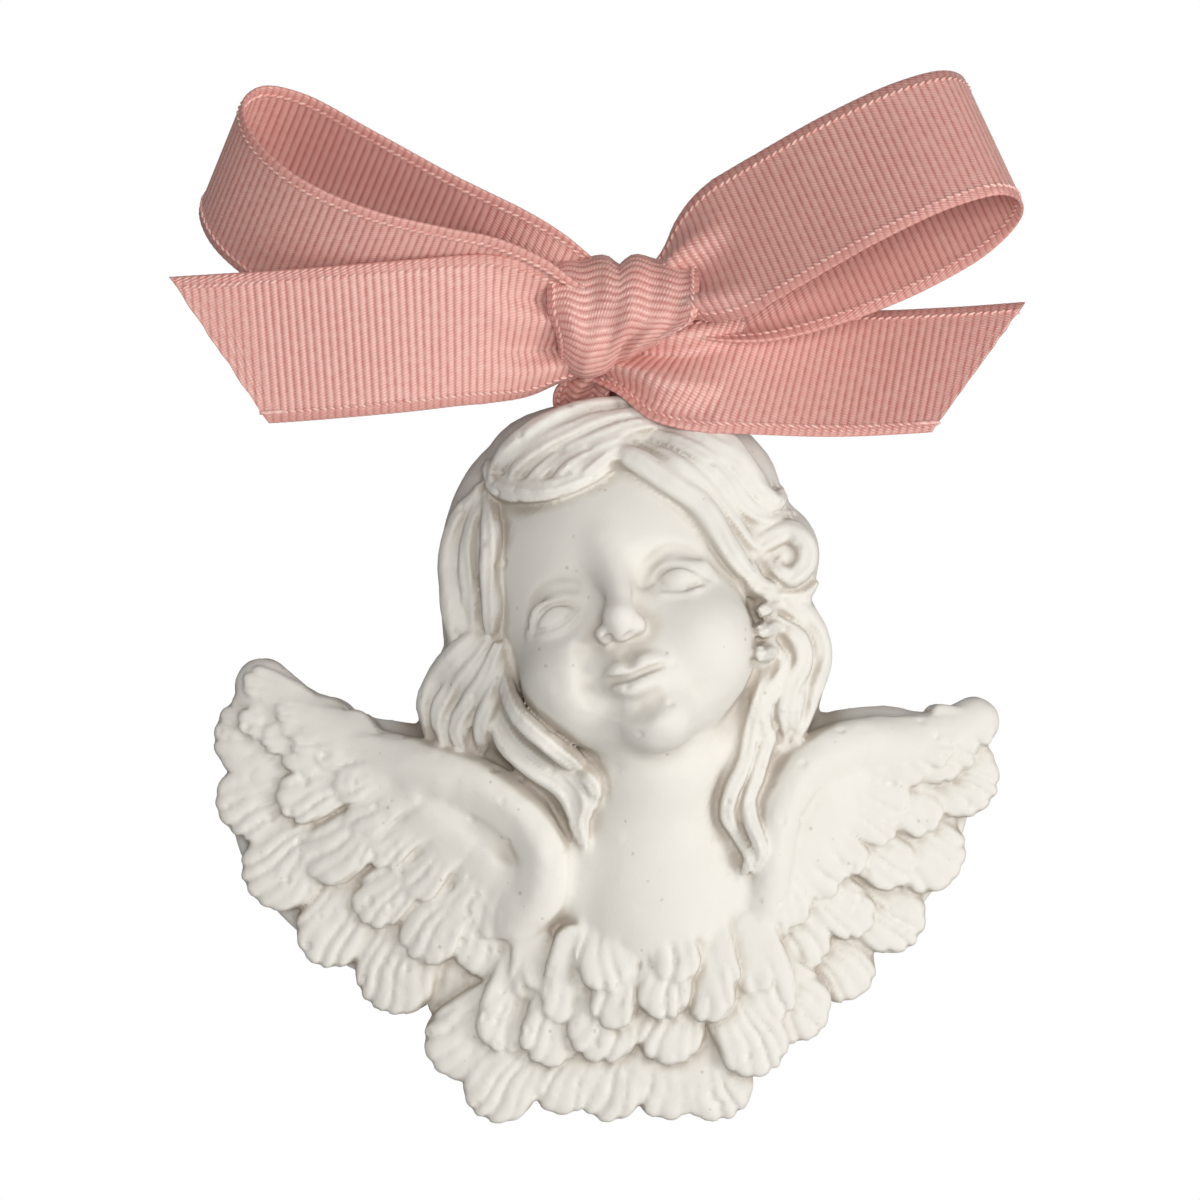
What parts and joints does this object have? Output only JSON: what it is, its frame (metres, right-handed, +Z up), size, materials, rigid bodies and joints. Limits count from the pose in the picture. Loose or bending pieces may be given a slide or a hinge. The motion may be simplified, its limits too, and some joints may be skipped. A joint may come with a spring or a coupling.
{
  "type": "hanging winged cherub head ornament",
  "caption": "Plaster relief of a cherub's head with spread wings and a flat back, hung by a bowed grosgrain ribbon through a hole behind the crown.",
  "frame": {"origin": "centre of the back of the bow's knot, where the ornament is hung", "axes": "+Z up the ornament, the face and bow look along -Y, +X to the right as seen from the front"},
  "size_m": [0.0851, 0.0261, 0.1058],
  "materials": {
    "plaster": "matt white cast plaster, fine pores, smooth on the face",
    "grosgrain": "dusty pink ribbed ribbon with a low sheen and stitched edges"
  },
  "bodies": {
    "root": {"cherub_cast": "plaster", "ribbon_bow": "grosgrain"}
  },
  "joints": []
}
